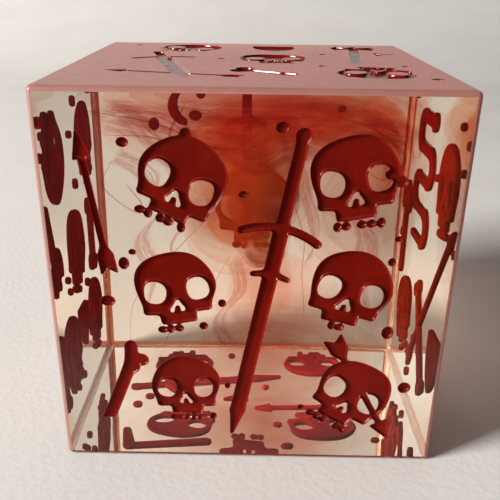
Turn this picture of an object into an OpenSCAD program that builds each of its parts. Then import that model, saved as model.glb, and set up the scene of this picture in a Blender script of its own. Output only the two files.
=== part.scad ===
// Giant six-sided die cast in clear resin around a cloud of red dye.
// Each face is engraved with skulls in place of pips, and with swords, arrows,
// bones and drops between them. Every recess has a coat of red paint on its floor.
// Origin: centre of the underside. +Z is up and the face with six skulls looks along -Y.

/* [Cube] */
// Side of the cube
side = 50; // [44:1:58]
// Leg of the bevel along every edge
bevel = 0.5; // [0.3:0.1:0.8]

/* [Engraving] */
// Depth of the recesses
cut_depth = 0.6; // [0.5:0.1:1]
// Thickness of the paint on the floor of a recess
paint_t = 0.2; // [0.1:0.1:0.4]

/* [Skull] */
// Radius of the two circles that make the dome
dome_r = 4.5; // [4.3:0.1:4.6]
// How far each of the two circles sits from the middle
dome_shift = 0.5; // [0.3:0.1:0.6]
// Radius of an eye socket
eye_r = 1.5; // [1.2:0.1:1.6]
// Distance of an eye socket from the middle
eye_x = 2.7; // [2.5:0.1:2.8]
// Width of the upper jaw
jaw_w = 4.4; // [4:0.1:5]
// Radius of a tooth
tooth_r = 0.42; // [0.35:0.01:0.45]

/* [Dye cloud] */
// Thickness of a veil of dye
veil_t = 0.5; // [0.4:0.1:0.8]

/* [Hidden] */
$fn = 48;
unit = side / 50;          // the layout below is drawn for a 50 mm face
past = 1;                  // how far a cutter runs past the surface that it cuts
cheek_drop = 3.2;          // from the middle of the dome to the cheekbones' lower edge
jaw_drop = 4.9;            // from the middle of the dome to the upper jaw's lower edge
tooth_drop = 5.7;          // from the middle of the dome to the row of teeth
sword_handle_w = 1.5;
arrow_shaft_w = 0.9;
guard_t = 1.1;             // thickness of a sword's cross-guard

PAINT_RED = [0.55, 0.05, 0.04];
DYE_RED = [0.75, 0.25, 0.12];
RESIN = [0.95, 0.88, 0.84, 0.3];

// Skulls: name, face, place on the face, tilt, size, teeth along the jaw, place of a knob
NO_KNOB = [0, 0];
SKULLS = [
    ["skull_front_1", "front", [-8.1, 15.2], -25, 1.03, [-2.7, -1.7, -0.2, 0.8, 2.4], [0.7, 4.5]],
    ["skull_front_2", "front", [11.8, 15.3], 7.5, 1.03, [-2.4, -1.4, 0.4, 1.5, 2.6], [5, -1.2]],
    ["skull_front_3", "front", [-9.2, 1.0], 7, 1, [-2.5, -1.5, -0.4, 2.7], NO_KNOB],
    ["skull_front_4", "front", [12.4, 1.5], -14.5, 1.02, [-0.7, 0.3], NO_KNOB],
    ["skull_front_5", "front", [-8.3, -13.2], 1, 0.9, [-1.9, -0.9, 0.1, 1.1, 2], NO_KNOB],
    ["skull_front_6", "front", [13.6, -13.8], -31, 1, [-2.8, -1.8, -0.7, 1.4, 2.4], NO_KNOB],
    ["skull_back_1", "back", [0, 1.5], 0, 1.3, [-1.9, -0.9, 0.9, 1.9], NO_KNOB],
    ["skull_left_1", "left", [-11, 14], -20, 1.1, [-1.9, -0.9, 1, 2], NO_KNOB],
    ["skull_left_2", "left", [13, 14.5], 143, 1.15, [-1.9, 0.1, 1.1], NO_KNOB],
    ["skull_left_3", "left", [2.2, 0.6], 15, 1.15, [-1, 0, 1, 2], NO_KNOB],
    ["skull_left_4", "left", [-10.5, -13.3], 10, 1.1, [-2, -1, 0, 1.6], NO_KNOB],
    ["skull_left_5", "left", [12.2, -13.2], -30, 1.15, [-1.6, -0.6, 1.4], NO_KNOB],
    ["skull_right_1", "right", [-12, 12], -5, 1.15, [-2, -1, 0, 1, 2], NO_KNOB],
    ["skull_right_2", "right", [12, -12.8], -30, 1.15, [-1.8, -0.8, 1.5], NO_KNOB],
    ["skull_top_1", "top", [-10.2, 16.8], -25, 1, [-1.8, 0.2, 1.2], NO_KNOB],
    ["skull_top_2", "top", [2.9, 3.4], 3, 1, [-2, -1, 0, 1, 2], NO_KNOB],
    ["skull_top_3", "top", [15.4, -12], 171, 1, [-2, -1, 0, 1, 2], [3.4, 3.2]],
    ["skull_bottom_1", "bottom", [-10, 12.8], 20, 1, [-2, -1, 1, 2], NO_KNOB],
    ["skull_bottom_2", "bottom", [11, 13], -15, 1, [-1.9, -0.9, 0.1, 1.9], NO_KNOB],
    ["skull_bottom_3", "bottom", [11, -15], 0, 1, [-2, 0, 1], NO_KNOB],
    ["skull_bottom_4", "bottom", [-11, -14.5], -10, 1, [-1, 0, 2], NO_KNOB],
];

// The other engraved motifs: name and face
MOTIFS = [
    ["sword_front", "front"], ["arrow_front", "front"], ["bone_front", "front"],
    ["piercing_arrow_front", "front"], ["drops_front", "front"],
    ["sword_back", "back"], ["crescent_back", "back"], ["drops_back", "back"],
    ["axe_left", "left"], ["bone_left", "left"], ["thigh_bone_left", "left"],
    ["shield_left", "left"], ["drops_left", "left"],
    ["snake_right", "right"], ["arrow_right", "right"], ["bone_right", "right"],
    ["shield_right", "right"], ["axe_right", "right"], ["drops_right", "right"],
    ["sword_top", "top"], ["arrow_top", "top"], ["bone_top", "top"], ["axe_top", "top"],
    ["shield_top", "top"], ["dart_top", "top"], ["drops_top", "top"],
    ["pick_bottom", "bottom"], ["arrow_bottom", "bottom"], ["sword_bottom", "bottom"],
    ["dart_bottom", "bottom"], ["drops_bottom", "bottom"],
];

// Drops of each face: x, y, radius
DROPS_FRONT = [
    [-14.7, 18.9, 0.6], [3.3, 20.8, 0.7], [-1, 13, 0.5], [-14.3, 5.6, 0.4], [-15.4, 4.1, 0.7],
    [-17.7, -1, 0.8], [-3.5, -1.1, 0.5], [17.5, 7.8, 0.4], [17, 4.8, 0.5], [17.4, -4.9, 0.8],
    [20.4, -13.1, 0.8], [7, -16.4, 0.4], [-4.7, -18.1, 0.5], [-2.8, -13.2, 0.4],
];
DROPS_BACK = [[8.3, 18.9, 0.7], [9.2, 15.6, 0.9], [-14, 17, 0.6], [15.8, 14.2, 0.9]];
DROPS_LEFT = [
    [0.5, 16.1, 0.6], [-1.4, 8.9, 0.7], [-4.5, 20, 0.7], [-18.3, 20.3, 0.8], [21.8, 20.5, 0.6],
    [21, 16.2, 0.6], [11, -2.4, 0.6], [10, -4.4, 0.5], [-5, -7.2, 0.7], [5, -19.5, 0.7],
];
DROPS_RIGHT = [
    [-21.8, 18.5, 0.7], [-20.5, 15, 0.6], [-22, 5, 0.6], [-16.5, 20, 0.6], [-4, 11.5, 0.6],
    [-6, -14.5, 0.6], [3, -21, 0.7], [0, -14, 0.6], [21.5, -2, 0.6], [20, 20, 0.6],
];
DROPS_TOP = [
    [-19.4, 20, 0.5], [-4.8, 1.9, 0.5], [10.6, 8.9, 0.6], [9.2, -5.3, 0.6], [20.5, -4.4, 0.5],
    [22, -16.5, 0.7],
];
DROPS_BOTTOM = [
    [5.6, 20.6, 0.8], [4.4, 12.2, 0.6], [18.4, 17.6, 0.6], [-17.2, 4.4, 0.8], [-15.6, 0.8, 0.7],
    [2.8, -3.9, 0.6], [-3, -19, 0.6], [19, -8, 0.6],
];

// The dye plume narrows as it sinks: height above the underside and radius of each lobe
PLUME = [[39.5, 7.5], [32.5, 6.4], [26.5, 4.8], [21.5, 3.2]];

// Veils of dye: name, radius about the cube's axis, first angle, last angle, lowest, highest
VEILS = [
    ["dye_veil_left", 15, 150, 215, 30, 46],
    ["dye_veil_right", 16, -35, 30, 28, 46],
    ["dye_veil_back", 13, 60, 125, 34, 47],
    ["dye_veil_front", 18, 245, 295, 37, 47],
    ["dye_wisp_left", 19, 170, 200, 12, 27],
    ["dye_wisp_right", 20, -15, 12, 10, 25],
];

// Puts a drawing made in the XY plane on a face, seen upright from outside the cube.
module on_face(face) {
    half = side / 2;
    if (face == "front") translate([0, -half, half]) rotate([90, 0, 0]) children();
    if (face == "back") translate([0, half, half]) rotate([90, 0, 180]) children();
    if (face == "left") translate([-half, 0, half]) rotate([90, 0, -90]) children();
    if (face == "right") translate([half, 0, half]) rotate([90, 0, 90]) children();
    if (face == "top") translate([0, 0, side]) children();
    if (face == "bottom") rotate([180, 0, 0]) children();
}

// A straight bar from one point to another
module bar(from, to, width) {
    run = to - from;
    translate(from) rotate(atan2(run.y, run.x)) translate([0, -width / 2]) square([norm(run), width]);
}

module drops(list) {
    for (drop = list) translate([drop.x, drop.y]) circle(r = drop[2]);
}

// Skull: a flattened dome cut off at the cheeks, with an upper jaw below and loose teeth
module skull(teeth, knob) {
    difference() {
        union() {
            intersection() {
                dome();
                translate([-2 * dome_r, -cheek_drop]) square([4 * dome_r, 3 * dome_r]);
            }
            translate([-jaw_w / 2, -jaw_drop]) square([jaw_w, jaw_drop - cheek_drop / 2]);
            if (knob != NO_KNOB) translate(knob) circle(r = 0.7);
        }
        for (way = [-1, 1]) translate([way * eye_x, -0.6]) circle(r = eye_r);
        polygon([[0, -1.5], [0.9, -3.6], [0.4, -3.8], [0, -2.8], [-0.4, -3.8], [-0.9, -3.6]]);
    }
    for (x = teeth) translate([x, -tooth_drop]) circle(r = tooth_r);
}

module dome() {
    for (way = [-1, 1]) translate([way * dome_shift, 0]) circle(r = dome_r);
}

// Sword with its pommel at the origin and its blade pointing down
module sword(length, guard_at, guard_w, blade_w, small_guard_at) {
    bow_r = guard_w;
    translate([0, -0.9]) circle(r = sword_handle_w * 0.6);
    bar([0, -0.6], [0, -guard_at], sword_handle_w);
    polygon([[-blade_w / 2, -guard_at], [blade_w / 2, -guard_at], [blade_w * 0.42, blade_w * 1.5 - length],
        [0, -length], [-blade_w * 0.42, blade_w * 1.5 - length]]);
    translate([0, -guard_at - bow_r]) intersection() {
        difference() {
            circle(r = bow_r + guard_t / 2);
            circle(r = bow_r - guard_t / 2);
        }
        polygon([[0, 0], [guard_w, 1.73 * guard_w], [-guard_w, 1.73 * guard_w]]);
    }
    if (small_guard_at > 0) bar([-blade_w * 1.1, -small_guard_at], [blade_w * 1.1, -small_guard_at], guard_t);
}

// Arrow from its nock at the origin to its point at the top
module arrow(length, head_l, head_w) {
    feather = head_w / 2;
    polygon([[-feather, 0], [0, feather * 0.7], [feather, 0], [feather, head_l * 0.8],
        [0, head_l * 1.3], [-feather, head_l * 0.8]]);
    bar([0, head_l * 0.5], [0, length - head_l * 0.7], arrow_shaft_w);
    polygon([[-head_w / 2, length - head_l], [head_w / 2, length - head_l], [0, length]]);
}

// Bone with two knuckles at the far end and, if near_end, two at the origin as well
module bone(length, width, near_end) {
    knuckle = width * 0.62;
    bar([0, 0], [0, length], width);
    for (way = [-1, 1]) translate([way * knuckle * 0.85, length]) circle(r = knuckle);
    if (near_end) for (way = [-1, 1]) translate([way * knuckle * 0.85, 0]) circle(r = knuckle);
}

// Two-bladed axe with its handle hanging down from the origin
module axe(handle_l, head_r) {
    bar([0, head_r * 0.6], [0, -handle_l], 1.6);
    difference() {
        circle(r = head_r);
        for (way = [-1, 1]) translate([0, way * head_r * 1.5]) circle(r = head_r * 1.1);
    }
}

module shield(width) {
    intersection() {
        translate([-width / 2, 0]) circle(r = width);
        translate([width / 2, 0]) circle(r = width);
        translate([-width, -width]) square([2 * width, width]);
    }
    translate([-width / 2, -0.01]) square([width, width * 0.25]);
}

// Snake lying in level runs that are joined by half-ring turns
module snake(turns, run, width) {
    pitch = 4.4;
    for (i = [0 : turns]) bar([-run / 2, -i * pitch], [run / 2, -i * pitch], width);
    for (i = [0 : turns - 1]) {
        way = i % 2 == 0 ? 1 : -1;
        translate([way * run / 2, -(i + 0.5) * pitch]) rotate(way > 0 ? -90 : 90) difference() {
            circle(r = (pitch + width) / 2);
            circle(r = (pitch - width) / 2);
            translate([-pitch, -2 * pitch]) square([2 * pitch, 2 * pitch]);
        }
    }
    translate([-run / 2 - 0.4, 0]) circle(r = width * 0.7);
}

module dart(size) {
    polygon([[-size / 2, 0], [0, size * 0.25], [size / 2, 0], [0, size]]);
}

// The outline of each motif, in the layout's own units, from the middle of its face
module motif_outline(name) {
    if (name == "sword_front") translate([5.9, 20.8]) rotate(-11) sword(42.5, 12, 9.6, 2, 18);
    if (name == "arrow_front") translate([-17.1, 2.6]) rotate(8.7) arrow(17.8, 3.3, 1.9);
    if (name == "bone_front") translate([-18.7, -17.9]) rotate(-23) bone(10.5, 1.5, false);
    if (name == "piercing_arrow_front") difference() {
        piercing_arrow();
        skull_at(SKULLS[5]);
    }
    if (name == "drops_front") drops(DROPS_FRONT);

    if (name == "sword_back") difference() {
        translate([1, 21]) sword(20, 6, 6, 1.8, 0);
        skull_at(SKULLS[6]);
    }
    if (name == "crescent_back") translate([10.5, 17]) difference() {
        circle(r = 3);
        translate([-1.2, 0.4]) circle(r = 2.7);
        translate([-6, -5]) square([6, 10]);
    }
    if (name == "drops_back") drops(DROPS_BACK);

    if (name == "axe_left") translate([18.6, 1]) rotate(160) axe(9.5, 3.6);
    if (name == "bone_left") translate([20.4, -18.5]) rotate(-8) bone(10, 1.8, true);
    if (name == "thigh_bone_left") translate([-11.8, -5.6]) bone(9, 2.2, true);
    if (name == "shield_left") translate([1.2, -10.6]) shield(6);
    if (name == "drops_left") drops(DROPS_LEFT);

    if (name == "snake_right") translate([7, 18]) snake(4, 8, 1.9);
    if (name == "arrow_right") translate([3.6, -19]) rotate(42) arrow(36, 3.4, 2.6);
    if (name == "bone_right") difference() {
        translate([-10.5, -18.8]) rotate(-42) bone(17, 1.8, true);
        motif_outline("arrow_right");
    }
    if (name == "shield_right") translate([-17.5, -10]) shield(8);
    if (name == "axe_right") translate([19.5, 4]) axe(12, 3.4);
    if (name == "drops_right") drops(DROPS_RIGHT);

    if (name == "sword_top") translate([-14.8, 10]) rotate(14) sword(28, 7, 9, 2.4, 0);
    if (name == "arrow_top") difference() {
        translate([-1.2, -16]) rotate(76) arrow(18.2, 2.6, 1.8);
        motif_outline("sword_top");
    }
    if (name == "bone_top") translate([5, -13.8]) rotate(58) bone(7.6, 2, false);
    if (name == "axe_top") translate([16.5, 18]) rotate(-6) axe(20, 3.8);
    if (name == "shield_top") translate([3.3, 18.5]) shield(7);
    if (name == "dart_top") translate([20.6, 9]) rotate(30) dart(3.4);
    if (name == "drops_top") drops(DROPS_TOP);

    if (name == "pick_bottom") {
        bar([-16, 21.5], [-5.5, 19.3], 1.8);
        bar([-16.6, 21.9], [-17.4, 14.8], 1.6);
    }
    if (name == "arrow_bottom") translate([14, 4.4]) rotate(85) arrow(13, 2.6, 2.2);
    if (name == "sword_bottom") translate([-19, -3.4]) rotate(77) sword(25, 6, 6.4, 2, 0);
    if (name == "dart_bottom") translate([-3, 0.2]) rotate(-60) dart(3.6);
    if (name == "drops_bottom") drops(DROPS_BOTTOM);
}

module piercing_arrow() {
    translate([10.4, -5.6]) rotate(180 + 28.5) arrow(17.8, 3, 2.3);
}

module skull_at(row) {
    translate(row[2]) rotate(row[3]) scale(row[4]) skull(row[5], row[6]);
}

// The room that a drawing takes when it is engraved, open to the outside
module recess(face) {
    on_face(face) translate([0, 0, -cut_depth]) linear_extrude(cut_depth + past) scale(unit) children();
}

// The coat of paint on the floor of the same recess
module paint(face) {
    color(PAINT_RED) on_face(face) translate([0, 0, -cut_depth]) linear_extrude(paint_t) scale(unit) children();
}

// Cube whose twelve edges are bevelled
module bevelled_cube() {
    across = (side - bevel) * sqrt(2);
    translate([0, 0, side / 2]) intersection() {
        cube(side, center = true);
        rotate([0, 0, 45]) cube([across, across, 2 * side], center = true);
        rotate([45, 0, 0]) cube([2 * side, across, across], center = true);
        rotate([0, 45, 0]) cube([across, 2 * side, across], center = true);
    }
}

// A stack of round lobes about the cube's upright axis
module plume_lobes() {
    scale(unit) rotate_extrude() intersection() {
        union() for (lobe = PLUME) translate([0, lobe[0]]) circle(r = lobe[1]);
        square([25, 50]);
    }
}

// A sheet of dye bent to an arc about the cube's upright axis
module veil_sheet(row) {
    radius = row[1];
    far = 2 * radius;
    first = row[2];
    last = row[3];
    scale(unit) translate([0, 0, row[4]]) linear_extrude(row[5] - row[4]) intersection() {
        difference() {
            circle(r = radius + veil_t / 2);
            circle(r = radius - veil_t / 2);
        }
        polygon([[0, 0], far * [cos(first), sin(first)],
            far * 1.2 * [cos((first + last) / 2), sin((first + last) / 2)], far * [cos(last), sin(last)]]);
    }
}

module resin_block() {
    color(RESIN) difference() {
        bevelled_cube();
        for (row = SKULLS) recess(row[1]) skull_at(row);
        for (row = MOTIFS) recess(row[1]) motif_outline(row[0]);
        plume_lobes();
        for (row = VEILS) veil_sheet(row);
    }
}

module dye_plume() { color(DYE_RED) plume_lobes(); }
module dye_veil(row) { color(DYE_RED) veil_sheet(row); }
module skull_pip(row) { paint(row[1]) skull_at(row); }
module motif_inlay(row) { paint(row[1]) motif_outline(row[0]); }

resin_block();
dye_plume();
for (row = VEILS) dye_veil(row);
for (row = SKULLS) skull_pip(row);
for (row = MOTIFS) motif_inlay(row);
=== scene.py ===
# %% [markdown]
# # A giant skull die, cast in clear resin
# The die is a solid cube of clear resin around a cloud of red dye. Every face is engraved with
# skulls for pips, with weapons and bones between them, and each engraving is coated with gloss
# red paint. The CAD model says where each engraving lies; this script gives each its real shape.

# %% Load the fixed frame
import math

import bmesh
import bpy
import numpy as np
from mathutils import Matrix, Vector
from mathutils.geometry import delaunay_2d_cdt


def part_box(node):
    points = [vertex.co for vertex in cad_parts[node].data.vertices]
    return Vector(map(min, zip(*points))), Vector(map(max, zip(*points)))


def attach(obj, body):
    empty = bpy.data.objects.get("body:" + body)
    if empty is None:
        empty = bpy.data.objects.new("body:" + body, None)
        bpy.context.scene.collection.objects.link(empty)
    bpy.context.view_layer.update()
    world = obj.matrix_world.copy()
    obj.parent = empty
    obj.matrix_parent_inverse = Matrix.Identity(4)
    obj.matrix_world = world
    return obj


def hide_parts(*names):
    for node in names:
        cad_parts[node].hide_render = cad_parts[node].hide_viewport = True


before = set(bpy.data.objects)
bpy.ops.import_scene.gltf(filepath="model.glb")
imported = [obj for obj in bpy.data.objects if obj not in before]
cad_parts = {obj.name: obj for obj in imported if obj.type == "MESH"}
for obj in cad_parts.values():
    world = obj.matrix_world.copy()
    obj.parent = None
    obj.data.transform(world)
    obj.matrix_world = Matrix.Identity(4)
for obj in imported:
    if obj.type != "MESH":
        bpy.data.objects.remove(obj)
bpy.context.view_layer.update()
LOW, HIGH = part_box("resin_block")
SIDE = HIGH.z - LOW.z
HALF = SIDE / 2
UNIT = SIDE / 50
print(f"cube of {SIDE * 1000:.1f} mm, {len(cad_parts)} CAD nodes")

# %% [markdown]
# ## Shader maths
# A material is a graph of nodes. One small class wraps an output of a node, so that a sum of two
# outputs is written as a sum, and one method adds every other kind of node.


# %% A wire between nodes, and a material that is being built
class Wire:
    def __init__(self, shader, socket):
        self.shader = shader
        self.socket = socket

    def maths(self, operation, first, second=0.0):
        return self.shader.node("Math", {"operation": operation}, {0: first, 1: second})

    def __add__(self, other):
        return self.maths("ADD", self, other)

    def __radd__(self, other):
        return self.maths("ADD", other, self)

    def __sub__(self, other):
        return self.maths("SUBTRACT", self, other)

    def __rsub__(self, other):
        return self.maths("SUBTRACT", other, self)

    def __mul__(self, other):
        return self.maths("MULTIPLY", self, other)

    def __rmul__(self, other):
        return self.maths("MULTIPLY", other, self)

    def __abs__(self):
        return self.maths("ABSOLUTE", self)

    def most(self, other):
        return self.maths("MAXIMUM", self, other)


class Shader:
    def __init__(self, name):
        self.material = bpy.data.materials.new(name)
        self.material.use_nodes = True
        self.tree = self.material.node_tree
        self.tree.nodes.clear()

    def node(self, kind, settings, inputs, output=0):
        made = self.tree.nodes.new("ShaderNode" + kind)
        for name, value in settings.items():
            setattr(made, name, value)
        for name, value in inputs.items():
            if isinstance(value, Wire):
                self.tree.links.new(value.socket, made.inputs[name])
            else:
                made.inputs[name].default_value = value
        return Wire(self, made.outputs[output])

    def place(self):
        return self.node("TexCoord", {}, {}, "Object")

    def coordinate(self, which):
        """x, y or z of a place, as which is 0, 1 or 2."""
        return self.node("SeparateXYZ", {}, {0: self.place()}, which)

    def outward(self):
        """How far a place is from the block's middle, towards the face that is nearest to it."""
        x, y, z = (self.coordinate(which) for which in range(3))
        return abs(x).most(abs(y)).most(abs(z - HALF))

    def noise(self, scale, detail=3.0, stretch=None, distortion=0.0):
        place = self.place()
        if stretch:
            place = self.node("Mapping", {}, {"Vector": place, "Scale": stretch})
        return self.node("TexNoise", {}, {"Vector": place, "Scale": scale, "Detail": detail,
                                          "Distortion": distortion})

    def band(self, value, low, high):
        """0 below low, 1 above high, and smooth between."""
        settings = {"interpolation_type": "SMOOTHSTEP"}
        return self.node("MapRange", settings, {"Value": value, "From Min": low, "From Max": high})

    def mix(self, share, first, second):
        return self.node("Mix", {"data_type": "RGBA"}, {"Factor": share, 6: first, 7: second}, 2)

    def finish(self, surface, volume=None):
        out = self.tree.nodes.new("ShaderNodeOutputMaterial")
        self.tree.links.new(surface.socket, out.inputs["Surface"])
        if volume:
            self.tree.links.new(volume.socket, out.inputs["Volume"])
        return self.material


# %% [markdown]
# ## Camera
# The camera stands about two sides in front of the cube and looks down on it by a quarter of a
# right angle, close enough for strong perspective.

# %% Camera
CAMERA_PLACE = Vector((-0.0026, -1.9765, 1.2252)) * SIDE
CAMERA_YAW = math.radians(-0.44)
CAMERA_PITCH = math.radians(24.38)
CAMERA_ROLL = math.radians(0.76)


def camera_turn(yaw, pitch, roll):
    ahead = Vector((math.sin(yaw) * math.cos(pitch), math.cos(yaw) * math.cos(pitch), -math.sin(pitch)))
    right = ahead.cross(Vector((0, 0, 1))).normalized()
    up = right.cross(ahead)
    right, up = (math.cos(roll) * right + math.sin(roll) * up, math.cos(roll) * up - math.sin(roll) * right)
    return Matrix((right, up, -ahead)).transposed().to_4x4()


camera_data = bpy.data.cameras.new("camera")
camera_data.lens = 47.9
camera_data.sensor_width = 36
camera_data.shift_x = 0.01
camera_data.shift_y = 0.05
camera_data.clip_start = 0.005
camera = bpy.data.objects.new("camera", camera_data)
camera.matrix_world = Matrix.Translation(CAMERA_PLACE) @ camera_turn(CAMERA_YAW, CAMERA_PITCH, CAMERA_ROLL)
bpy.context.scene.collection.objects.link(camera)
bpy.context.scene.camera = camera

# %% [markdown]
# ## Drawing with distances
# Each engraving is drawn as a distance field: a function that says how far a point is from the
# outline, negative inside. Shapes then blend, subtract and grow by simple maths, and one field
# gives the rim, the wall and the floor of a recess as outlines at different distances.

# %% Fields for simple shapes, in layout units of a fiftieth of the side


def turned(x, y, degrees):
    angle = math.radians(degrees)
    return x * math.cos(angle) + y * math.sin(angle), y * math.cos(angle) - x * math.sin(angle)


def disc(x, y, cx, cy, r):
    return np.hypot(x - cx, y - cy) - r


def oval(x, y, cx, cy, rx, ry, square=2.0):
    """An ellipse, or something between it and a box as square grows."""
    reach = np.abs((x - cx) / rx) ** square + np.abs((y - cy) / ry) ** square
    return (reach ** (1 / square) - 1) * min(rx, ry)


def stroke(x, y, a, b, ra, rb=None):
    """A round-ended bar from a to b whose radius goes from ra to rb."""
    rb = ra if rb is None else rb
    dx, dy = b[0] - a[0], b[1] - a[1]
    along = np.clip(((x - a[0]) * dx + (y - a[1]) * dy) / (dx * dx + dy * dy), 0, 1)
    return np.hypot(x - a[0] - along * dx, y - a[1] - along * dy) - (ra + (rb - ra) * along)


def block(x, y, cx, cy, w, h, corner):
    dx = np.abs(x - cx) - w / 2 + corner
    dy = np.abs(y - cy) - h / 2 + corner
    return np.hypot(np.maximum(dx, 0), np.maximum(dy, 0)) + np.minimum(np.maximum(dx, dy), 0) - corner


def arc(x, y, cx, cy, r, spread, width):
    """A bent bar: the part of a ring within spread radians of straight up."""
    angle = np.clip(np.arctan2(x - cx, y - cy), -spread, spread)
    return np.hypot(x - cx - r * np.sin(angle), y - cy - r * np.cos(angle)) - width / 2


def blade(x, y, points, corner):
    """A polygon with straight sides, grown by corner so that its points are round."""
    nearest = np.full(np.shape(x), 1e9)
    sign = np.ones(np.shape(x))
    for (ax, ay), (bx, by) in zip(points, points[-1:] + points[:-1]):
        ex, ey, wx, wy = bx - ax, by - ay, x - ax, y - ay
        t = np.clip((wx * ex + wy * ey) / (ex * ex + ey * ey), 0, 1)
        nearest = np.minimum(nearest, (wx - ex * t) ** 2 + (wy - ey * t) ** 2)
        above, below, left = y >= ay, y < by, ex * wy > ey * wx
        sign = np.where((above & below & left) | (~above & ~below & ~left), -sign, sign)
    return sign * np.sqrt(nearest) - corner


def join(first, *others, blend=0.25):
    """The union of shapes, with a soft fillet where they meet."""
    for other in others:
        share = np.clip(0.5 + 0.5 * (first - other) / blend, 0, 1)
        first = first + (other - first) * share - blend * share * (1 - share)
    return first


def cut(first, *others, blend=0.12):
    for other in others:
        first = -join(-first, other, blend=blend)
    return first


# %% [markdown]
# ## The engravings
# Each drawing takes arrays of x and y in its own upright frame. The numbers are sizes in layout
# units, so a skull is about ten units wide.

# %% Skull


def skull(x, y, knob=None, glint=None, sway=0.0):
    x, y = x + 0.13 * np.sin(0.9 * y + 3 * sway), y + 0.1 * np.sin(0.8 * x + 5 * sway)
    dome = join(disc(x, y, -0.6, 0.15, 4.35), disc(x, y, 0.6, 0.15, 4.35), blend=0.6)
    cheeks = block(x, y, 0, -1.7, 8.6, 4.1, 0.55)
    head = cut(join(dome, cheeks, blend=0.5), y + 3.75, blend=0.2)
    jaw = block(x, y, 0, -3.8, 4.7 + 0.1 * (y + 3), 2.5, 0.3)
    face = join(head, jaw, blend=0.3)
    if knob:
        face = join(face, disc(x, y, *knob, 0.62), blend=0.35)
    for way in (-1, 1):
        tilt = (x - way * 2.7) * (0.2 + 0.1 * math.sin(7 * sway)) * way
        socket = oval(x + 0.15 * way * (y + 0.6), y - tilt, way * 2.66, -0.62, 1.42, 1.56, 2.4)
        face = cut(face, socket, blend=0.06)
    nose = cut(stroke(x, y, (0, -2.1), (0, -3.0), 0.36, 0.98), stroke(x, y, (0, -2.85), (0, -3.9), 0.3, 0.5),
               y + 3.45, blend=0.08)
    face = cut(face, nose, blend=0.06)
    if glint:
        face = join(face, disc(x, y, *glint, 0.55), blend=0.25)
    return face


# %% Sword, arrow, bone, axe, shield, snake and the rest


def sword(x, y, length, guard_at, guard_w, blade_r, small_guard_at=0):
    reach = guard_w * 1.0
    grip = stroke(x, y, (0, -0.85), (0, -guard_at), 0.72, 0.78)
    steel = join(stroke(x, y, (0, -guard_at), (0, -length + 4), blade_r * 0.95, blade_r),
                 stroke(x, y, (0, -length + 4), (0, -length + 0.25), blade_r, 0.22))
    guard = arc(x, y, 0, -guard_at - reach, reach, 0.5 * guard_w / reach, 1.05)
    made = join(grip, steel, guard, disc(x, y, 0, -0.85, 0.92))
    if small_guard_at:
        for way in (-1, 1):
            tip = (way * blade_r * 2.2, -small_guard_at - 0.45)
            wing = stroke(x, y, (0, -small_guard_at + 0.1), tip, 0.5, 0.34)
            made = join(made, wing)
    return made


def arrow(x, y, length, head_l, head_w):
    half = head_w / 2
    head = blade(x, y, [(-half, length - head_l), (half, length - head_l), (0, length - 0.25)], 0.12)
    shaft = stroke(x, y, (0, head_l * 0.9), (0, length - head_l), 0.38)
    feather = blade(x, y, [(-half, 0.1), (0, half * 0.8), (half, 0.1), (half * 0.95, head_l * 0.75),
                           (0, head_l * 1.3), (-half * 0.95, head_l * 0.75)], 0.1)
    return join(head, shaft, feather, blend=0.2)


def bone(x, y, length, width, near_end):
    knuckle = width * 0.62
    shaft = stroke(x, y, (0, 0.4), (0, length), width * 0.5, width * 0.42)
    ends = [disc(x, y, way * knuckle * 0.85, length + way * 0.25, knuckle) for way in (-1, 1)]
    if near_end:
        ends += [disc(x, y, way * knuckle * 0.85, way * 0.2, knuckle) for way in (-1, 1)]
    else:
        ends += [block(x, y, 0, width * 0.5, width * 1.05, width, 0.15)]
    return join(shaft, *ends, blend=0.35)


def forked_bone(x, y):
    shaft = block(*turned(x - 1.9, y - 4.7, -21.5), 0, 0, 1.62, 11.6, 0.1)
    shaft = np.maximum(shaft, 0.05 - y)
    knob = stroke(x, y, (3.6, 8.0), (3.57, 11.15), 0.95, 0.8)
    return join(shaft, knob, disc(x, y, 4.92, 9.1, 0.85), blend=0.4)


def axe(x, y, handle_l, head_r):
    bows = [disc(x, y, 0, way * head_r * 1.5, head_r * 1.1) for way in (-1, 1)]
    head = cut(disc(x, y, 0, 0, head_r), *bows, blend=0.2)
    return join(head, stroke(x, y, (0, head_r * 0.6), (0, -handle_l), 0.72, 0.8))


def shield(x, y, width):
    tip = [disc(x, y, way * width / 2, 0, width) for way in (-1, 1)]
    point = np.maximum(np.maximum(*tip), y)
    return join(point, block(x, y, 0, width * 0.11, width, width * 0.26, 0.2), blend=0.3)


def snake(x, y, turns, run, width):
    pitch = 4.4
    body = disc(x, y, -run / 2 - 0.5, 0, width * 0.72)
    for i in range(turns + 1):
        thick = width / 2 * (1 - 0.09 * i)
        body = join(body, stroke(x, y, (-run / 2, -i * pitch), (run / 2, -i * pitch), thick))
    for i in range(turns):
        way = 1 if i % 2 == 0 else -1
        up, out = -(y + (i + 0.5) * pitch) * way, (x - way * run / 2) * way
        bend = arc(up, out, 0, 0, pitch / 2, 1.57, width * 0.96)
        body = join(body, bend)
    return body


def pick(x, y):
    return join(stroke(x, y, (-15.6, 21.3), (-5.6, 19.4), 0.75, 0.9),
                stroke(x, y, (-16.3, 21.4), (-17.2, 15.3), 0.9, 0.6))


def crescent(x, y):
    return cut(np.maximum(disc(x, y, 0, 0, 3), -x), disc(x, y, -1.2, 0.4, 2.7))


def dart(x, y, size):
    return blade(x, y, [(-size / 2, 0.1), (0, size * 0.25), (size / 2, 0.1), (0, size - 0.2)], 0.12)


# %% [markdown]
# ## Which drawing goes on which node
# A skull keeps its own tilt and size. Every other engraving has a drawing, and a tilt in degrees.

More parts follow.
